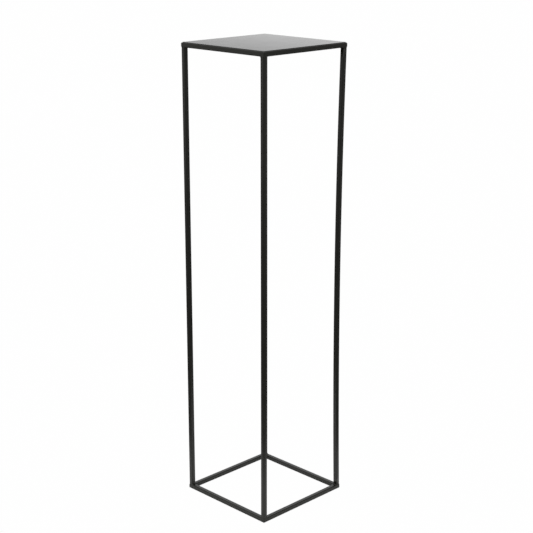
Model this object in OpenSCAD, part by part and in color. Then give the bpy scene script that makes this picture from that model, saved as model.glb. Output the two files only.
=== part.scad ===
// Tall open display stand: two square tube frames, four legs and a flat sheet top, welded into one.
// Millimetres. The origin is on the floor under the middle of the stand, +Z points up,
// and the front is the -Y side.

/* [Stand] */
// Height from the floor to the top of the sheet
stand_h = 1000; // [400:10:1400]
// Width over the two frames, along X
stand_w = 240; // [160:5:500]
// Depth over the two frames, along Y
stand_d = 240; // [160:5:500]

/* [Tube] */
// Outside width of the square tube
tube_w = 10; // [8:0.5:20]
// Wall of the tube
tube_wall = 1.2; // [0.8:0.1:1.6]
// Outside corner radius of the tube
tube_r = 2; // [1.8:0.1:3]

/* [Top sheet] */
// Thickness of the top sheet
sheet_t = 1; // [0.8:0.1:3]
// Corner radius of the top sheet in plan
sheet_r = 1; // [0.5:0.5:10]
// Distance from the outer faces of the frame in to the edges of the sheet
sheet_inset = 2; // [0:0.5:6]

/* [Welds] */
// Root gap between two mitred rails, filled by the seam
mitre_gap = 0.8; // [0.4:0.1:1.5]
// Radius of the bead down the outer corner of a frame
corner_bead_r = 0.9; // [0.6:0.1:1.2]
// How far that bead stands out past each outer face
corner_bead_proud = 0.4; // [0.1:0.1:0.5]
// Radius of the bead around the end of a leg
leg_bead_r = 1.5; // [1:0.1:2]
// How far the leg bead stands out past the two outer faces
leg_bead_proud = 0.4; // [0.1:0.1:0.5]
// Radius of a stitch under the sheet
stitch_r = 1.3; // [1:0.1:1.5]
// Length of a stitch under the sheet
stitch_len = 18; // [8:1:30]
// Distance from the middle of a rail to each of its two stitches
stitch_off = 60; // [25:1:60]

/* [Vents] */
// Diameter of the hole in the underside of each rail, which lets air and rinse water out
vent_d = 4; // [2:0.5:5]
// Diameter of the hole that joins the inside of a leg to the inside of its frame
leg_vent_d = 4; // [2:0.5:5]

/* [Hidden] */
$fn = 48;

coat = [0.10, 0.10, 0.105];
sheet_coat = [0.16, 0.16, 0.17];
weld_coat = [0.13, 0.13, 0.13];

// Overshoot of every cutter past the solid that it cuts
eps = 1;
// Height at which the underside of the sheet rests on the top frame
sheet_z = stand_h - sheet_t;
sheet_w = stand_w - 2 * sheet_inset;
sheet_d = stand_d - 2 * sheet_inset;
// Height of the underside of the top frame, where the legs end
leg_top_z = sheet_z - tube_w;
leg_len = leg_top_z - tube_w;
// Half the root gap, measured along a rail
mitre_set_back = mitre_gap / sqrt(2);
tube_bore_r = tube_r - tube_wall;
// Distance between the end of a corner bead and the bead around the leg above it
bead_clear = 0.1;
corner_bead_low = tube_r / 2;
corner_bead_high = tube_w - leg_bead_r - bead_clear;
// The four corners in order, as the signs of X and Y
CORNERS = [[-1, -1], [1, -1], [1, 1], [-1, 1]];

// Square of side w with round corners, standing in the quarter where x and y are positive
module round_square(w, r, inset) {
    translate([inset, inset]) {
        translate([r, 0]) square([w - 2 * r, w]);
        translate([0, r]) square([w, w - 2 * r]);
        for (x = [r, w - r], y = [r, w - r])
            translate([x, y]) circle(r);
    }
}

module tube_outline() {
    round_square(tube_w, tube_r, 0);
}

module tube_section() {
    difference() {
        tube_outline();
        round_square(tube_w - 2 * tube_wall, tube_bore_r, tube_wall);
    }
}

// Lays a section along +X from the YZ plane: its x becomes y and its y becomes z
module along_x(len) {
    multmatrix([[0, 0, 1, 0], [1, 0, 0, 0], [0, 1, 0, 0], [0, 0, 0, 1]])
        linear_extrude(len) children();
}

// Plan of a rail from mitre to mitre, its outer face on the X axis, each end set back
module rail_plan(len, back) {
    polygon([[back, 0], [len - back, 0], [len - back - tube_w, tube_w], [back + tube_w, tube_w]]);
}

// One mitred rail of a frame, its outer bottom edge along +X from the origin.
// The side that faces the leg has a half hole at each mitre.
module rail(len, leg_side_up) {
    difference() {
        intersection() {
            along_x(len) tube_section();
            linear_extrude(tube_w) rail_plan(len, mitre_set_back);
        }
        translate([len / 2, tube_w / 2, -eps]) cylinder(h = eps + tube_w / 2, d = vent_d);
        for (x = [tube_w / 2, len - tube_w / 2])
            leg_vent(x, leg_side_up);
    }
}

module leg_vent(x, leg_side_up) {
    translate([x, tube_w / 2, leg_side_up ? tube_w / 2 : -eps])
        cylinder(h = tube_w / 2 + eps, d = leg_vent_d);
}

// Solid outline of the two rails that meet at a corner, with no root gap.
// It reaches past everything that is cut to it.
module corner_outline() {
    reach = 4 * tube_w;
    intersection() {
        along_x(reach) tube_outline();
        linear_extrude(tube_w) polygon([[0, 0], [reach, 0], [reach, tube_w], [tube_w, tube_w]]);
    }
    mirror([1, -1, 0]) intersection() {
        along_x(reach) tube_outline();
        linear_extrude(tube_w) polygon([[0, 0], [reach, 0], [reach, tube_w], [tube_w, tube_w]]);
    }
}

// Half of the seam between two rails, on the side of the rail that runs along X
module half_seam() {
    intersection() {
        along_x(2 * tube_w) tube_section();
        linear_extrude(tube_w) polygon([
            [0, 0], [mitre_set_back, 0], [tube_w + mitre_set_back, tube_w], [tube_w, tube_w]
        ]);
    }
}

// Seam that fills the root gap at one corner, with a bead down its outer and its inner edge
module mitre_weld(leg_side_up) {
    bead_in = corner_bead_r - corner_bead_proud;
    low = leg_side_up ? corner_bead_low : tube_w - corner_bead_high;
    high = leg_side_up ? corner_bead_high : tube_w - corner_bead_low;
    difference() {
        union() {
            half_seam();
            mirror([1, -1, 0]) half_seam();
        }
        leg_vent(tube_w / 2, leg_side_up);
    }
    difference() {
        union() {
            translate([bead_in, bead_in, low]) cylinder(h = high - low, r = corner_bead_r);
            translate([tube_w, tube_w, low]) cylinder(h = high - low, r = corner_bead_r);
        }
        corner_outline();
    }
}

// Straight round bead from one point to another, along X or along Y, with round ends
module bead(from, to, r) {
    run = to - from;
    for (p = [from, to])
        translate(p) sphere(r);
    translate(from) rotate([run.y > 0 ? -90 : 0, run.x > 0 ? 90 : 0, 0])
        cylinder(h = norm(run), r = r);
}

// Bead around the end of a leg that stands on the corner of a frame
module leg_weld() {
    near = leg_bead_r - leg_bead_proud;
    z = tube_w;
    hollow = tube_w - 2 * tube_wall;
    difference() {
        union() {
            bead([near, near, z], [tube_w, near, z], leg_bead_r);
            bead([near, tube_w, z], [tube_w, tube_w, z], leg_bead_r);
            bead([near, near, z], [near, tube_w, z], leg_bead_r);
            bead([tube_w, near, z], [tube_w, tube_w, z], leg_bead_r);
        }
        corner_outline();
        translate([0, 0, z]) linear_extrude(2 * tube_w) tube_outline();
        translate([tube_wall, tube_wall, z - tube_r - eps]) cube([hollow, hollow, tube_r + 2 * eps]);
    }
}

// Puts its child, made for the corner at the origin, at the corner with the given signs
module at_corner(c) {
    translate([c.x * stand_w / 2, c.y * stand_d / 2, 0])
        mirror([c.x > 0 ? 1 : 0, 0, 0])
            mirror([0, c.y > 0 ? 1 : 0, 0])
                children();
}

// Turns its child upside down within the height of a tube
module flip_tube() {
    translate([0, 0, tube_w]) mirror([0, 0, 1]) children();
}

// Puts a rail, made along +X from the origin, on one side of the stand
module on_front() translate([-stand_w / 2, -stand_d / 2, 0]) children();
module on_right() translate([stand_w / 2, -stand_d / 2, 0]) rotate([0, 0, 90]) children();
module on_rear() translate([stand_w / 2, stand_d / 2, 0]) rotate([0, 0, 180]) children();
module on_left() translate([-stand_w / 2, stand_d / 2, 0]) rotate([0, 0, 270]) children();

module up_to_top_frame() translate([0, 0, leg_top_z]) children();

module top_sheet() {
    color(sheet_coat) translate([0, 0, sheet_z]) linear_extrude(sheet_t) {
        square([sheet_w - 2 * sheet_r, sheet_d], center = true);
        square([sheet_w, sheet_d - 2 * sheet_r], center = true);
        for (c = CORNERS)
            translate([c.x * (sheet_w / 2 - sheet_r), c.y * (sheet_d / 2 - sheet_r)]) circle(sheet_r);
    }
}

module bottom_rail_front() color(coat) on_front() rail(stand_w, true);
module bottom_rail_right() color(coat) on_right() rail(stand_d, true);
module bottom_rail_rear() color(coat) on_rear() rail(stand_w, true);
module bottom_rail_left() color(coat) on_left() rail(stand_d, true);

module top_rail_front() color(coat) up_to_top_frame() on_front() rail(stand_w, false);
module top_rail_right() color(coat) up_to_top_frame() on_right() rail(stand_d, false);
module top_rail_rear() color(coat) up_to_top_frame() on_rear() rail(stand_w, false);
module top_rail_left() color(coat) up_to_top_frame() on_left() rail(stand_d, false);

module leg(c) {
    color(coat) at_corner(c) translate([0, 0, tube_w]) linear_extrude(leg_len) tube_section();
}

module leg_front_left() leg(CORNERS[0]);
module leg_front_right() leg(CORNERS[1]);
module leg_rear_right() leg(CORNERS[2]);
module leg_rear_left() leg(CORNERS[3]);

module bottom_mitre_welds() {
    color(weld_coat) for (c = CORNERS)
        at_corner(c) mitre_weld(true);
}

module top_mitre_welds() {
    color(weld_coat) up_to_top_frame() for (c = CORNERS)
        at_corner(c) mitre_weld(false);
}

module leg_foot_welds() {
    color(weld_coat) for (c = CORNERS)
        at_corner(c) leg_weld();
}

module leg_top_welds() {
    color(weld_coat) up_to_top_frame() for (c = CORNERS)
        at_corner(c) flip_tube() leg_weld();
}

// One stitch in the groove between the sheet and the inner edge of a rail along +X
module stitch(x) {
    drop = stitch_r / 2;
    half_run = stitch_len / 2 - stitch_r;
    y = tube_w + corner_bead_proud / 2 - drop / 2;
    difference() {
        bead([x - half_run, y, tube_w - drop], [x + half_run, y, tube_w - drop], stitch_r);
        translate([x - stitch_len, 0, 0]) along_x(2 * stitch_len) tube_outline();
        translate([x - stitch_len, 0, tube_w]) cube([2 * stitch_len, 2 * tube_w, tube_w]);
    }
}

module rail_stitches(len) {
    for (side = [-1, 1])
        stitch(len / 2 + side * stitch_off);
}

module sheet_stitch_welds() {
    color(weld_coat) up_to_top_frame() {
        on_front() rail_stitches(stand_w);
        on_right() rail_stitches(stand_d);
        on_rear() rail_stitches(stand_w);
        on_left() rail_stitches(stand_d);
    }
}

top_sheet();
top_rail_front();
top_rail_right();
top_rail_rear();
top_rail_left();
bottom_rail_front();
bottom_rail_right();
bottom_rail_rear();
bottom_rail_left();
leg_front_left();
leg_front_right();
leg_rear_right();
leg_rear_left();
top_mitre_welds();
bottom_mitre_welds();
leg_top_welds();
leg_foot_welds();
sheet_stitch_welds();
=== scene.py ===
import math

import bmesh
import bpy
from bpy.props import FloatProperty, FloatVectorProperty, IntProperty, PointerProperty
from mathutils import Euler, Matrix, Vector


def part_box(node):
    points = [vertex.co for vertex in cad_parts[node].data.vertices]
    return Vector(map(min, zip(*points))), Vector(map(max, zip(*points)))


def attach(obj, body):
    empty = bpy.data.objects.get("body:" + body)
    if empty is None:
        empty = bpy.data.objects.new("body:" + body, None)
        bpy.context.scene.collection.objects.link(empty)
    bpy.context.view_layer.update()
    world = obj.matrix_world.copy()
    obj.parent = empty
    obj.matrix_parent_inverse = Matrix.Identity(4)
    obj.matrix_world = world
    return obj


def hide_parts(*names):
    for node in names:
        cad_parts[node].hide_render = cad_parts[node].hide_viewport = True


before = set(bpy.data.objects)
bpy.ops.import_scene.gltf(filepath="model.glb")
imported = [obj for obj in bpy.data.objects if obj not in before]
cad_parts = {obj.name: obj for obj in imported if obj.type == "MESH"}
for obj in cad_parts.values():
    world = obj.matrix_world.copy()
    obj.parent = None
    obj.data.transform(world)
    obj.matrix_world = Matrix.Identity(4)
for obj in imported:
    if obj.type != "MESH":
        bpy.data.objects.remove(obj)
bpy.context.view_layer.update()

bl_info = {
    "name": "Display Stand",
    "version": (1, 0, 0),
    "blender": (4, 5, 0),
    "location": "3D View > Sidebar > Stand",
    "description": "Coats the tube frame of a tall open display stand and adds its sheet and welds",
    "category": "Add Mesh",
}

MM = 0.001
# The four corners, as the signs of X and Y
CORNERS = ((-1, -1), (1, -1), (1, 1), (-1, 1))
# The leg that the heat of welding has pulled out of line
BOWED_LEG = "leg_front_right"
BOWED_CORNER = (1, -1)
STRAIGHT_TUBES = [
    name for name in sorted(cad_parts)
    if "weld" not in name and name.startswith(("bottom_rail", "top_rail", "leg_")) and name != BOWED_LEG]

SHEET_LOW, SHEET_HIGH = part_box("top_sheet")
LEG_LOW, LEG_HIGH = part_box("leg_front_left")
BEAD_LOW, BEAD_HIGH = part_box("leg_foot_welds")
STITCH_LOW, STITCH_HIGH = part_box("sheet_stitch_welds")
TUBE = LEG_HIGH.x - LEG_LOW.x
# Half the width and half the depth over the outer faces of the tubes
HALF = Vector((-LEG_LOW.x, -LEG_LOW.y))
LEG_BEAD_R = (BEAD_HIGH.z - BEAD_LOW.z) / 2
BEAD_PROUD = BEAD_HIGH.x - HALF.x

# How finely the flats and corners of a tube, the bow of a leg and the path of a bead are divided
FLAT_STEPS = 8
ARC_STEPS = 8
BOW_STEPS = 48
SIDE_STEPS = 36
STEPS_PER_RIPPLE = 5
# The same for the sides, corners and rounded edge of the sheet
SHEET_SIDE_STEPS = 16
SHEET_CORNER_STEPS = 3
SHEET_EDGE_STEPS = 4
# Where the flat of the sheet is divided, as shares of the way from its edge to its middle
SHEET_INSETS = (0.9, 0.7, 0.5, 0.35, 0.22, 0.12, 0.06, 0.02)
SMALLEST_CORNER = 0.2 * MM

# Share of the fine grain, against the clouds, in the colour of the coat
GRAIN_SHARE = 0.4
# How far a ripple curves back at the sides of its bead, and how much its spacing wanders, in ripples
RIPPLE_LAG = 0.35
RIPPLE_WANDER = 0.12
# How many times the spacing swings from wide to narrow or back along a bead
WANDER_SWINGS = 5
# Thickness left at the very end of a bead, as a share of its full thickness
BEAD_END = 0.02
# Space between the end of a bead down a mitre and the bead round the leg
BEAD_CLEAR = 0.1 * MM
# How much rougher the coat is over a weld than on a tube
WELD_DULLING = 0.04

# Heights of the paper and of the floor card over the floor, and how far the paper runs under the card
PAPER_LIFT = 0.1 * MM
CARD_LIFT = 3 * MM
PAPER_LAP = 50 * MM
DISC_STEPS = 96
RING_STEPS = 48


# ---------------------------------------------------------------- sizes and colours

class CoatSettings(bpy.types.PropertyGroup):
    colour: FloatVectorProperty(
        name="Coat colour", description="Colour of the powder coat on tubes and welds",
        subtype="COLOR", size=3, min=0, max=1, default=(0.0062, 0.0062, 0.004))
    sheet_colour: FloatVectorProperty(
        name="Sheet colour", description="Colour of the powder coat on the sheet",
        subtype="COLOR", size=3, min=0, max=1, default=(0.012, 0.012, 0.0125))
    roughness: FloatProperty(
        name="Roughness", description="Roughness of the coat on the tubes",
        subtype="FACTOR", min=0, max=1, default=0.34)
    sheet_roughness: FloatProperty(
        name="Sheet roughness", description="Roughness of the coat in the middle of the sheet",
        subtype="FACTOR", min=0, max=1, default=0.21)
    sheet_drift: FloatProperty(
        name="Sheet drift",
        description="How much rougher the sheet's coat is at its left edge than at its right",
        min=0, max=0.2, default=0.1)
    ior: FloatProperty(
        name="Refraction", description="Index of refraction of the coat", min=1, max=2.5, default=1.42)
    cloud_size: FloatProperty(
        name="Cloud size", description="Width of a patch of the coat that is a little glossier or duller",
        unit="LENGTH", min=0.005, max=0.2, default=28 * MM)
    cloud_gloss: FloatProperty(
        name="Cloud gloss", description="How much the roughness varies from patch to patch",
        min=0, max=0.2, default=0.04)
    cloud_colour: FloatProperty(
        name="Cloud colour", description="How much lighter or darker than its mean the coat gets",
        subtype="FACTOR", min=0, max=1, default=0.3)
    peel_size: FloatProperty(
        name="Peel size", description="Width of one dimple in the coat",
        unit="LENGTH", min=0.0002, max=0.01, default=1.6 * MM)
    peel_depth: FloatProperty(
        name="Peel depth", description="Depth of one dimple in the coat",
        unit="LENGTH", min=0, max=0.001, default=0.03 * MM)
    grain_size: FloatProperty(
        name="Grain size", description="Width of one grain of the coat",
        unit="LENGTH", min=0.00005, max=0.002, default=0.3 * MM)
    grain_depth: FloatProperty(
        name="Grain depth", description="Height of one grain of the coat",
        unit="LENGTH", min=0, max=0.001, default=0.008 * MM)


class TubeSettings(bpy.types.PropertyGroup):
    corner: FloatProperty(
        name="Tube corner", description="Outside corner radius of the square tube",
        unit="LENGTH", min=0.0005, max=0.005, default=2 * MM)
    wall: FloatProperty(
        name="Tube wall", description="Wall of the square tube",
        unit="LENGTH", min=0.0005, max=0.003, default=1.2 * MM)
    bow: FloatProperty(
        name="Bow",
        description="How far the bowed leg bends towards the middle of the stand at half its height",
        unit="LENGTH", min=0, max=0.02, default=5.4 * MM)


class SheetSettings(bpy.types.PropertyGroup):
    corner: FloatProperty(
        name="Corner radius", description="Radius of the corners of the sheet in plan",
        unit="LENGTH", min=0.0005, max=0.02, default=1 * MM)
    edge: FloatProperty(
        name="Edge radius", description="Radius that the coat gives to the sheared edge",
        unit="LENGTH", min=0.0001, max=0.0005, default=0.3 * MM)
    sag: FloatProperty(
        name="Dish", description="How far the middle of the sheet has pulled down between the stitches",
        unit="LENGTH", min=0, max=0.003, default=0.25 * MM)


class WeldSettings(bpy.types.PropertyGroup):
    ripple: FloatProperty(
        name="Ripple", description="Distance from one ripple of a bead to the next",
        unit="LENGTH", min=0.0003, max=0.005, default=1.0 * MM)
    depth: FloatProperty(
        name="Ripple depth", description="Depth of a ripple as a share of the bead's radius",
        subtype="FACTOR", min=0, max=0.3, default=0.09)
    gap: FloatProperty(
        name="Root gap", description="Gap between two mitred rails, filled by the seam",
        unit="LENGTH", min=0.0002, max=0.003, default=0.8 * MM)
    corner_bead: FloatProperty(
        name="Corner bead", description="Radius of the bead down the corner of a frame",
        unit="LENGTH", min=0.0003, max=0.002, default=0.9 * MM)
    stitch: FloatProperty(
        name="Stitch length", description="Length of one stitch under the sheet",
        unit="LENGTH", min=0.005, max=0.04, default=18 * MM)
    stitch_place: FloatProperty(
        name="Stitch place", description="Distance of a stitch from the middle of its rail",
        unit="LENGTH", min=0.01, max=0.1, default=60 * MM)
    turn: FloatProperty(
        name="Turn", description="Radius at which the bead round a leg turns each corner",
        unit="LENGTH", min=0.0005, max=0.004, default=1.1 * MM)
    sides: IntProperty(
        name="Bead sides", description="Number of faces round a bead", min=8, max=32, default=16)


class StageSettings(bpy.types.PropertyGroup):
    azimuth: FloatProperty(
        name="Camera azimuth", description="Where the camera stands round the stand, 0 at the front",
        subtype="ANGLE", default=math.radians(-44.82))
    tilt: FloatProperty(
        name="Camera tilt", description="How far the camera looks down", subtype="ANGLE",
        default=math.radians(16.28))
    distance: FloatProperty(
        name="Camera distance", description="Level distance from the camera to the middle of the stand",
        unit="LENGTH", min=0.5, max=10, default=2.58)
    height: FloatProperty(
        name="Camera height", description="Height of the camera over the floor",
        unit="LENGTH", min=0.1, max=5, default=1.2755)
    aside: FloatProperty(
        name="Camera aside", description="How far the camera stands to the right of its line of sight",
        unit="LENGTH", min=-1, max=1, default=4.8 * MM)
    lens: FloatProperty(
        name="Lens", description="Focal length in millimetres", min=20, max=300, default=84.46)
    floor_radius: FloatProperty(
        name="Floor radius", description="Radius of the pale floor", unit="LENGTH",
        min=1, max=100, default=40)
    floor_glow: FloatProperty(
        name="Floor glow", description="Light that the floor gives off itself, as a light table does",
        min=0, max=1, default=0.995)
    paper_colour: FloatVectorProperty(
        name="Paper colour", description="Colour of the white paper that the stand mirrors",
        subtype="COLOR", size=3, min=0, max=1, default=(0.9, 0.9, 0.9))
    room_light: FloatProperty(
        name="Room light", description="Brightness of the white room", min=0, max=5, default=1.0)
    soft_light: FloatProperty(
        name="Soft light", description="Power of the large overhead light in watts",
        min=0, max=500, default=20)
    paper_radius: FloatProperty(
        name="Paper radius", description="Radius of the white paper that the stand mirrors",
        unit="LENGTH", min=0.2, max=5, default=0.38)
    card_distance: FloatProperty(
        name="Card distance", description="Distance of the cards beside the stand",
        unit="LENGTH", min=0.5, max=5, default=2.1)
    floor_card: FloatProperty(
        name="Floor card", description="Brightness of the dark card round the paper",
        min=0, max=2, default=0.15)
    left_card: FloatProperty(
        name="Left card", description="Brightness of the card on the camera's left",
        min=0, max=2, default=0.62)
    right_card: FloatProperty(
        name="Right card", description="Brightness of the card on the camera's right",
        min=0, max=2, default=0.35)
    rear_card: FloatProperty(
        name="Rear card", description="Brightness of the card behind the stand",
        min=0, max=2, default=1.0)
    card_size: FloatProperty(
        name="Card size", description="Width of a card, and the height of its upper edge",
        unit="LENGTH", min=0.5, max=6, default=3)
    left_card_low: FloatProperty(
        name="Left card's foot", description="Height of the lower edge of the left card",
        unit="LENGTH", min=0, max=2, default=0.3)
    card_low: FloatProperty(
        name="Card's foot", description="Height of the lower edge of the other two cards",
        unit="LENGTH", min=0, max=2, default=10 * MM)
    lamp_size: FloatProperty(
        name="Lamp size", description="Diameter of the overhead light",
        unit="LENGTH", min=0.1, max=10, default=2.4)
    lamp_place: FloatVectorProperty(
        name="Lamp place", description="Where the overhead light hangs",
        subtype="TRANSLATION", size=3, default=(-0.6, 0.4, 3.4))
    lamp_aim: FloatProperty(
        name="Lamp aim", description="Height of the point over the origin that the overhead light faces",
        unit="LENGTH", min=0, max=2, default=0.4)


class StandSettings(bpy.types.PropertyGroup):
    coat: PointerProperty(type=CoatSettings)
    tube: PointerProperty(type=TubeSettings)
    sheet: PointerProperty(type=SheetSettings)
    welds: PointerProperty(type=WeldSettings)
    stage: PointerProperty(type=StageSettings)


def settings():
    return bpy.context.scene.display_stand


# ---------------------------------------------------------------- shader graphs

class Socket:
    """An output of a shader graph that takes part in sums."""

    def __init__(self, graph, output):
        self.graph = graph
        self.output = output

    def math(self, operation, first, second):
        node = self.graph.node("ShaderNodeMath", {"operation": operation}, {0: first, 1: second})
        return Socket(self.graph, node.outputs[0])

    def __add__(self, other):
        return self.math("ADD", self, other)

    def __radd__(self, other):
        return self.math("ADD", other, self)

    def __sub__(self, other):
        return self.math("SUBTRACT", self, other)

    def __rsub__(self, other):
        return self.math("SUBTRACT", other, self)

    def __mul__(self, other):
        return self.math("MULTIPLY", self, other)

    def __rmul__(self, other):
        return self.math("MULTIPLY", other, self)


class Graph:
    """The node tree of a material or of the world, empty at first."""

    def __init__(self, owner):
        owner.use_nodes = True
        self.tree = owner.node_tree
        self.tree.nodes.clear()

    def node(self, kind, values=None, inputs=None):
        """Adds a node, sets its own values, then sets or links its sockets."""
        made = self.tree.nodes.new(kind)
        for name, value in (values or {}).items():
            setattr(made, name, value)
        for name, value in (inputs or {}).items():
            if isinstance(value, Socket):
                self.tree.links.new(value.output, made.inputs[name])
            elif isinstance(value, bpy.types.NodeSocket):
                self.tree.links.new(value, made.inputs[name])
            else:
                made.inputs[name].default_value = value
        return made

    def value(self, kind, values=None, inputs=None, output=0):
        """A node's output, ready for sums."""
        return Socket(self, self.node(kind, values, inputs).outputs[output])

    def blend(self, share, first, second):
        """A colour between two colours."""
        node = self.node("ShaderNodeMix", {"data_type": "RGBA"}, {"Factor": share, 6: first, 7: second})
        return node.outputs[2]


def colour4(colour, gain=1.0):
    return (*[channel * gain for channel in colour], 1.0)


def powder_coat(name, colour, roughness, relief, drift):
    """Satin powder coat: soft peel, fine grain, and a faint cloudiness in gloss and in colour.

    Relief scales the peel and the grain. Drift is how much rougher the left edge is than the right.
    """
    coat = settings().coat
    material = bpy.data.materials.new(name)
    graph = Graph(material)
    place = graph.node("ShaderNodeTexCoord").outputs["Object"]

    def noise(size, detail):
        return graph.value(
            "ShaderNodeTexNoise", {"noise_dimensions": "3D"},
            {"Vector": place, "Scale": 1 / size, "Detail": detail, "Roughness": 0.5})

    peel = noise(coat.peel_size, 2.0)
    grain = noise(coat.grain_size, 1.0)
    cloud = noise(coat.cloud_size, 3.0)
    dark, light = colour4(colour, 1 - coat.cloud_colour), colour4(colour, 1 + coat.cloud_colour)
    tint = graph.blend(GRAIN_SHARE * grain + (1 - GRAIN_SHARE) * cloud, dark, light)
    depth = coat.peel_depth * peel + coat.grain_depth * grain
    bump = graph.node(
        "ShaderNodeBump", None, {"Height": depth * (1 / MM), "Distance": MM * relief, "Strength": 1.0})
    gloss = roughness - coat.cloud_gloss / 2 + coat.cloud_gloss * cloud
    if drift:
        across = graph.value("ShaderNodeSeparateXYZ", None, {"Vector": place}, "X")
        gloss = gloss - drift / (2 * SHEET_HIGH.x) * across
    shader = graph.node(
        "ShaderNodeBsdfPrincipled", None,
        {"Base Color": tint, "Roughness": gloss, "IOR": coat.ior, "Normal": bump.outputs["Normal"]})
    graph.node("ShaderNodeOutputMaterial", None, {"Surface": shader.outputs["BSDF"]})
    return material


def coat_material(name):
    """The named coat, made the first time that it is asked for: colour, roughness, relief, drift."""
    found = bpy.data.materials.get(name)
    if found:
        return found
    coat = settings().coat
    makers = {
        "black_tube_coat": (coat.colour, coat.roughness, 1.0, 0),
        "black_sheet_coat": (coat.sheet_colour, coat.sheet_roughness, 0.3, coat.sheet_drift),
        "black_weld_coat": (coat.colour, coat.roughness + WELD_DULLING, 1.3, 0),
    }
    return powder_coat(name, *makers[name])


# ---------------------------------------------------------------- meshes

def add_piece(name, bm, material, replaced):
    """Makes the mesh an object that rides on the stand and stands for the CAD nodes it replaces."""
    bmesh.ops.recalc_face_normals(bm, faces=bm.faces)
    mesh = bpy.data.meshes.new(name)
    bm.to_mesh(mesh)
    bm.free()
    for face in mesh.polygons:
        face.use_smooth = True
    mesh.materials.append(material)
    piece = bpy.data.objects.new(name, mesh)
    bpy.context.scene.collection.objects.link(piece)
    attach(piece, "root")
    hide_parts(replaced)
    return piece


def join_rings(bm, rings, closed):
    """Joins rings of vertices, each of the same length, with faces between neighbours."""
    count = len(rings[0])
    pairs = list(zip(rings, rings[1:] + rings[:1])) if closed else list(zip(rings, rings[1:]))
    for one, other in pairs:
        for i in range(count):
            j = (i + 1) % count
            bm.faces.new((one[i], one[j], other[j], other[i]))


def rounded_outline(low, high, radius, straight, arc):
    """Points round a rectangle with round corners: steps along each side, and steps round each corner."""
    centres = (
        (high.x - radius, high.y - radius, 0), (low.x + radius, high.y - radius, 1),
        (low.x + radius, low.y + radius, 2), (high.x - radius, low.y + radius, 3))
    points = []
    for number, (x, y, quarter) in enumerate(centres):
        for step in range(arc + 1):
            angle = (quarter + step / arc) * math.pi / 2
            points.append(Vector((x + radius * math.cos(angle), y + radius * math.sin(angle))))
        start = points[-1]
        nx, ny, after = centres[(number + 1) % 4]
        angle = after * math.pi / 2
        end = Vector((nx + radius * math.cos(angle), ny + radius * math.sin(angle)))
        for step in range(1, straight):
            points.append(start.lerp(end, step / straight))
    return points


def bead_rings(bm, path, closed, radius, seed):
    """Rings of a rippled bead along a path: its radius swells and shrinks, and the ripples curve back."""
    welds = settings().welds
    lengths = [0.0]
    for one, other in zip(path, path[1:]):
        lengths.append(lengths[-1] + (other - one).length)
    total = lengths[-1] + ((path[0] - path[-1]).length if closed else 0)
    ripples = max(2, round(total / welds.ripple))
    pitch = total / ripples
    rings = []
    count = len(path)
    for i, point in enumerate(path):
        before = path[(i - 1) % count] if closed or i else path[0]
        after = path[(i + 1) % count] if closed or i < count - 1 else path[-1]
        along = (after - before).normalized()
        up = Vector((0, 0, 1)) if abs(along.z) < 0.9 else Vector((1, 0, 0))
        side = along.cross(up).normalized()
        over = side.cross(along)
        ring = []
        for k in range(welds.sides):
            angle = 2 * math.pi * k / welds.sides
            lag = RIPPLE_LAG * math.cos(2 * angle)
            wander = RIPPLE_WANDER * math.sin(seed + WANDER_SWINGS * lengths[i] / total * math.pi)
            phase = lengths[i] / pitch + lag + wander
            crest = abs(math.sin(math.pi * phase))
            size = radius * (1 - welds.depth * (1 - crest))
            if not closed:
                end = min(lengths[i], total - lengths[i]) / radius
                size *= BEAD_END + (1 - BEAD_END) * math.sqrt(max(0.0, 1 - (1 - min(end, 1)) ** 2))
            ring.append(bm.verts.new(point + size * (math.cos(angle) * side + math.sin(angle) * over)))
        rings.append(ring)
    return rings


def add_bead(bm, path, closed, radius, seed):
    rings = bead_rings(bm, path, closed, radius, seed)
    join_rings(bm, rings, closed)
    if not closed:
        bm.faces.new(rings[0])
        bm.faces.new(rings[-1])


def straight_path(start, end):
    """Points from start to end, close enough together to carry the ripples."""
    steps = max(6, round((end - start).length * STEPS_PER_RIPPLE / settings().welds.ripple))
    return [start.lerp(end, i / steps) for i in range(steps + 1)]


def at_corner(corner, x, y, z):
    """A point given from a corner's outer edge inwards, in the frame of the stand."""
    return Vector((corner[0] * (HALF.x - x), corner[1] * (HALF.y - y), z))


# ---------------------------------------------------------------- pieces

def tube_outlines():
    """The outer and the inner outline of the tube, its outer corner at the origin."""
    tube = settings().tube
    square = Vector((TUBE, TUBE))
    wall = Vector((tube.wall, tube.wall))
    outside = rounded_outline(Vector((0, 0)), square, tube.corner, FLAT_STEPS, ARC_STEPS)
    inside = rounded_outline(wall, square - wall, tube.corner - tube.wall, FLAT_STEPS, ARC_STEPS)
    return outside, inside


class CoatTubes(bpy.types.Operator):
    """Gives the eight rails and the straight legs their powder coat"""
    bl_idname = "stand.coat_tubes"
    bl_label = "Coat the tubes"

    def execute(self, context):
        material = coat_material("black_tube_coat")
        for name in STRAIGHT_TUBES:
            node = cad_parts[name]
            node.data.materials.clear()
            node.data.materials.append(material)
        return {"FINISHED"}


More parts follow.
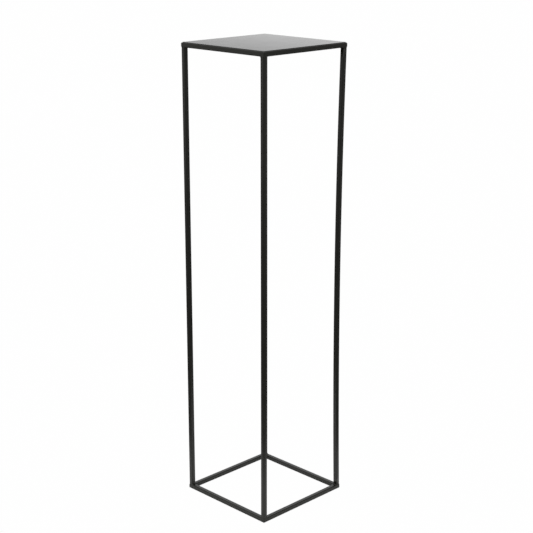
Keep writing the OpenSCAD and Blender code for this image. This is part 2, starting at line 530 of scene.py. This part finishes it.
class AddBowedLeg(bpy.types.Operator):
    """Builds the leg that bows a little towards the middle of the stand"""
    bl_idname = "stand.add_bowed_leg"
    bl_label = "Add the bowed leg"

    def execute(self, context):
        bow = settings().tube.bow / math.sqrt(2)
        outside, inside = tube_outlines()
        bm = bmesh.new()

        def ring(outline, step):
            share = step / BOW_STEPS
            shift = bow * 4 * share * (1 - share)
            z = LEG_LOW.z + share * (LEG_HIGH.z - LEG_LOW.z)
            return [bm.verts.new(at_corner(BOWED_CORNER, p.x + shift, p.y + shift, z)) for p in outline]

        outer = [ring(outside, step) for step in range(BOW_STEPS + 1)]
        inner = [ring(inside, step) for step in reversed(range(BOW_STEPS + 1))]
        join_rings(bm, outer + inner, True)
        add_piece("bowed_leg", bm, coat_material("black_tube_coat"), BOWED_LEG)
        return {"FINISHED"}


class AddSheet(bpy.types.Operator):
    """Builds the sheet with its soft edge and its slight dish"""
    bl_idname = "stand.add_sheet"
    bl_label = "Add the sheet"

    def dish(self, x, y):
        sag = settings().sheet.sag
        inner = HALF.x - TUBE
        across = max(0.0, 1 - (x / inner) ** 2) * max(0.0, 1 - (y / inner) ** 2)
        return -sag * across

    def execute(self, context):
        sheet = settings().sheet
        bm = bmesh.new()
        rings = []

        def add_ring(inset, z, radius):
            low = Vector((SHEET_LOW.x + inset, SHEET_LOW.y + inset))
            high = Vector((SHEET_HIGH.x - inset, SHEET_HIGH.y - inset))
            outline = rounded_outline(low, high, radius, SHEET_SIDE_STEPS, SHEET_CORNER_STEPS)
            rings.append([bm.verts.new((p.x, p.y, z + self.dish(p.x, p.y))) for p in outline])

        insets = [SHEET_HIGH.x * share for share in SHEET_INSETS]
        for inset in insets:
            add_ring(inset, SHEET_LOW.z, max(SMALLEST_CORNER, sheet.corner - inset))
        for step in range(SHEET_EDGE_STEPS + 1):
            angle = step / SHEET_EDGE_STEPS * math.pi / 2
            inset = sheet.edge * (1 - math.sin(angle))
            add_ring(inset, SHEET_LOW.z + sheet.edge * (1 - math.cos(angle)), sheet.corner - inset)
        for step in range(SHEET_EDGE_STEPS + 1):
            angle = step / SHEET_EDGE_STEPS * math.pi / 2
            inset = sheet.edge * (1 - math.cos(angle))
            add_ring(inset, SHEET_HIGH.z - sheet.edge * (1 - math.sin(angle)), sheet.corner - inset)
        for inset in reversed(insets):
            add_ring(inset, SHEET_HIGH.z, max(SMALLEST_CORNER, sheet.corner - inset))
        join_rings(bm, rings, False)
        bm.faces.new(rings[0])
        bm.faces.new(rings[-1])
        add_piece("flat_sheet", bm, coat_material("black_sheet_coat"), "top_sheet")
        return {"FINISHED"}


class AddLegWelds(bpy.types.Operator):
    """Builds the rippled bead round each end of each leg"""
    bl_idname = "stand.add_leg_welds"
    bl_label = "Add the leg welds"

    def execute(self, context):
        material = coat_material("black_weld_coat")
        near = LEG_BEAD_R - BEAD_PROUD
        low = Vector((near, near))
        high = Vector((TUBE, TUBE))
        outline = rounded_outline(low, high, settings().welds.turn, SIDE_STEPS, ARC_STEPS)
        for name, replaced, height in (
                ("leg_foot_beads", "leg_foot_welds", LEG_LOW.z),
                ("leg_top_beads", "leg_top_welds", LEG_HIGH.z)):
            bm = bmesh.new()
            for number, corner in enumerate(CORNERS):
                path = [at_corner(corner, p.x, p.y, height) for p in outline]
                add_bead(bm, path, True, LEG_BEAD_R, number + height)
            add_piece(name, bm, material, replaced)
        return {"FINISHED"}


class AddMitreWelds(bpy.types.Operator):
    """Builds the dressed seam of each mitre and the beads down its outer and inner edge"""
    bl_idname = "stand.add_mitre_welds"
    bl_label = "Add the mitre welds"

    def seam(self, bm, corner, base):
        """The slice of tube that fills the root gap, in three rings outside and three inside."""
        welds = settings().welds
        back = welds.gap / math.sqrt(2)
        outside, inside = tube_outlines()

        def ring(outline, x_shift, y_shift):
            places = [at_corner(corner, p.x + x_shift, p.x + y_shift, base + p.y) for p in outline]
            return [bm.verts.new(place) for place in places]

        shifts = ((back, 0), (0, 0), (0, back))
        outer = [ring(outside, *shift) for shift in shifts]
        inner = [ring(inside, *shift) for shift in reversed(shifts)]
        join_rings(bm, outer + inner, True)

    def execute(self, context):
        welds = settings().welds
        radius = welds.corner_bead
        edge = radius - BEAD_PROUD
        material = coat_material("black_weld_coat")
        clear = LEG_BEAD_R + BEAD_CLEAR
        margin = settings().tube.corner / 2
        for name, replaced, base, low, high in (
                ("bottom_mitre_seams", "bottom_mitre_welds", 0.0, margin, TUBE - clear),
                ("top_mitre_seams", "top_mitre_welds", LEG_HIGH.z, clear, TUBE - margin)):
            bm = bmesh.new()
            for number, corner in enumerate(CORNERS):
                self.seam(bm, corner, base)
                for place in (edge, TUBE):
                    start = at_corner(corner, place, place, base + low)
                    end = at_corner(corner, place, place, base + high)
                    add_bead(bm, straight_path(start, end), False, radius, number + place)
            add_piece(name, bm, material, replaced)
        return {"FINISHED"}


class AddStitches(bpy.types.Operator):
    """Builds the short welds that hold the sheet, inside the top frame"""
    bl_idname = "stand.add_stitches"
    bl_label = "Add the sheet stitches"

    def execute(self, context):
        welds = settings().welds
        radius = (STITCH_HIGH.z - STITCH_LOW.z) * 2 / 3
        z = SHEET_LOW.z - radius / 2
        reach = TUBE + BEAD_PROUD / 2 - radius / 4
        bm = bmesh.new()
        half_run = welds.stitch / 2
        seed = 0
        for side in (-1, 1):
            for place in (-welds.stitch_place, welds.stitch_place):
                for turned in (False, True):
                    depth = side * ((HALF.x if turned else HALF.y) - reach)
                    start, end = Vector((place - half_run, depth, z)), Vector((place + half_run, depth, z))
                    if turned:
                        start, end = start.yxz, end.yxz
                    add_bead(bm, straight_path(start, end), False, radius, seed)
                    seed += 1
        add_piece("sheet_stitches", bm, coat_material("black_weld_coat"), "sheet_stitch_welds")
        return {"FINISHED"}


# ---------------------------------------------------------------- stage

class AddStage(bpy.types.Operator):
    """Sets up the camera, the pale floor, the cards, the white room and the soft light"""
    bl_idname = "stand.add_stage"
    bl_label = "Add the stage"

    def on_stage(self, name, bm, colour, glow):
        """Makes the mesh a part of the stage with a plain surface that may glow."""
        mesh = bpy.data.meshes.new(name)
        bm.to_mesh(mesh)
        bm.free()
        material = bpy.data.materials.new(name)
        graph = Graph(material)
        shader = graph.node(
            "ShaderNodeBsdfPrincipled", None,
            {"Base Color": colour4(colour), "Roughness": 1.0, "Specular IOR Level": 0.0,
             "Emission Color": (1, 1, 1, 1), "Emission Strength": glow})
        graph.node("ShaderNodeOutputMaterial", None, {"Surface": shader.outputs["BSDF"]})
        mesh.materials.append(material)
        made = bpy.data.objects.new(name, mesh)
        bpy.context.scene.collection.objects.link(made)
        return made

    def card(self, name, bm, glow, colour=(0, 0, 0)):
        """A studio card that only shows as a reflection in the coat."""
        card = self.on_stage(name, bm, colour, glow)
        card.visible_camera = False
        card.visible_diffuse = False
        card.visible_transmission = False
        card.visible_shadow = False

    def disc(self, radius, z):
        """A flat round mesh at the given height."""
        bm = bmesh.new()
        bmesh.ops.create_circle(bm, cap_ends=True, segments=DISC_STEPS, radius=radius)
        bmesh.ops.translate(bm, verts=bm.verts, vec=(0, 0, z))
        return bm

    def floor(self, stage):
        """A glowing floor without shadows, and a paper that shows and takes shadows in reflections only."""
        floor = self.on_stage("floor", self.disc(stage.floor_radius, 0), (0, 0, 0), stage.floor_glow)
        floor.visible_glossy = False
        paper = self.disc(stage.paper_radius + PAPER_LAP, PAPER_LIFT)
        self.card("paper", paper, 0, stage.paper_colour)

    def floor_card(self, stage):
        """A dark ring just over the floor, open over the paper."""
        bm = bmesh.new()
        rings = []
        for radius in (stage.paper_radius, 2 * stage.floor_radius):
            ring = []
            for step in range(RING_STEPS):
                angle = 2 * math.pi * step / RING_STEPS
                ring.append(bm.verts.new((radius * math.cos(angle), radius * math.sin(angle), CARD_LIFT)))
            rings.append(ring)
        join_rings(bm, rings, False)
        self.card("floor_card", bm, stage.floor_card)

    def wall_card(self, stage, name, turn, low, glow):
        """An upright card, turned round the stand from the camera's right-hand side."""
        out = Vector((math.cos(stage.azimuth + turn), math.sin(stage.azimuth + turn), 0))
        along = Vector((-out.y, out.x, 0)) * stage.card_size / 2
        middle = out * stage.card_distance
        bm = bmesh.new()
        corners = [middle - along, middle + along, middle + along, middle - along]
        heights = (low, low, stage.card_size, stage.card_size)
        bm.faces.new([bm.verts.new((p.x, p.y, z)) for p, z in zip(corners, heights)])
        self.card(name, bm, glow)

    def room(self, stage):
        world = bpy.data.worlds.new("white_room")
        bpy.context.scene.world = world
        graph = Graph(world)
        light = graph.node(
            "ShaderNodeBackground", None, {"Color": (1, 1, 1, 1), "Strength": stage.room_light})
        graph.node("ShaderNodeOutputWorld", None, {"Surface": light.outputs["Background"]})

    def lamp(self, stage):
        light = bpy.data.lights.new("soft_light", "AREA")
        light.shape = "DISK"
        light.size = stage.lamp_size
        light.energy = stage.soft_light
        lamp = bpy.data.objects.new("soft_light", light)
        lamp.location = stage.lamp_place
        aim = Vector((0, 0, stage.lamp_aim)) - lamp.location
        lamp.rotation_euler = aim.to_track_quat("-Z", "Y").to_euler()
        bpy.context.scene.collection.objects.link(lamp)

    def camera(self, stage):
        data = bpy.data.cameras.new("camera")
        data.sensor_width = 36
        data.lens = stage.lens
        data.clip_end = 200
        camera = bpy.data.objects.new("camera", data)
        place = Vector((stage.aside, -stage.distance, stage.height))
        place.rotate(Euler((0, 0, stage.azimuth)))
        camera.location = place
        camera.rotation_euler = (math.pi / 2 - stage.tilt, 0, stage.azimuth)
        bpy.context.scene.collection.objects.link(camera)
        bpy.context.scene.camera = camera

    def execute(self, context):
        stage = settings().stage
        self.camera(stage)
        self.floor(stage)
        self.floor_card(stage)
        self.wall_card(stage, "left_card", math.pi, stage.left_card_low, stage.left_card)
        self.wall_card(stage, "right_card", 0, stage.card_low, stage.right_card)
        self.wall_card(stage, "rear_card", math.pi / 2, stage.card_low, stage.rear_card)
        self.room(stage)
        self.lamp(stage)
        context.scene.view_settings.view_transform = "Standard"
        return {"FINISHED"}


PIECE_OPERATORS = (CoatTubes, AddBowedLeg, AddSheet, AddLegWelds, AddMitreWelds, AddStitches, AddStage)


class StandPanel(bpy.types.Panel):
    """Lists the settings and the steps that dress the stand"""
    bl_idname = "VIEW3D_PT_display_stand"
    bl_label = "Display Stand"
    bl_space_type = "VIEW_3D"
    bl_region_type = "UI"
    bl_category = "Stand"

    def draw(self, context):
        for group in ("coat", "tube", "sheet", "welds", "stage"):
            box = self.layout.box()
            box.label(text=group.capitalize())
            owner = getattr(context.scene.display_stand, group)
            for name in owner.__annotations__:
                box.prop(owner, name)
        for operator in PIECE_OPERATORS:
            self.layout.operator(operator.bl_idname)


CLASSES = (
    CoatSettings, TubeSettings, SheetSettings, WeldSettings, StageSettings, StandSettings,
    *PIECE_OPERATORS, StandPanel)


def register():
    for each in CLASSES:
        bpy.utils.register_class(each)
    bpy.types.Scene.display_stand = PointerProperty(type=StandSettings)


def unregister():
    del bpy.types.Scene.display_stand
    for each in reversed(CLASSES):
        bpy.utils.unregister_class(each)


def main():
    register()
    bpy.ops.stand.add_stage()
    bpy.ops.stand.coat_tubes()
    bpy.ops.stand.add_bowed_leg()
    bpy.ops.stand.add_sheet()
    bpy.ops.stand.add_leg_welds()
    bpy.ops.stand.add_mitre_welds()
    bpy.ops.stand.add_stitches()


if __name__ == "__main__":
    main()
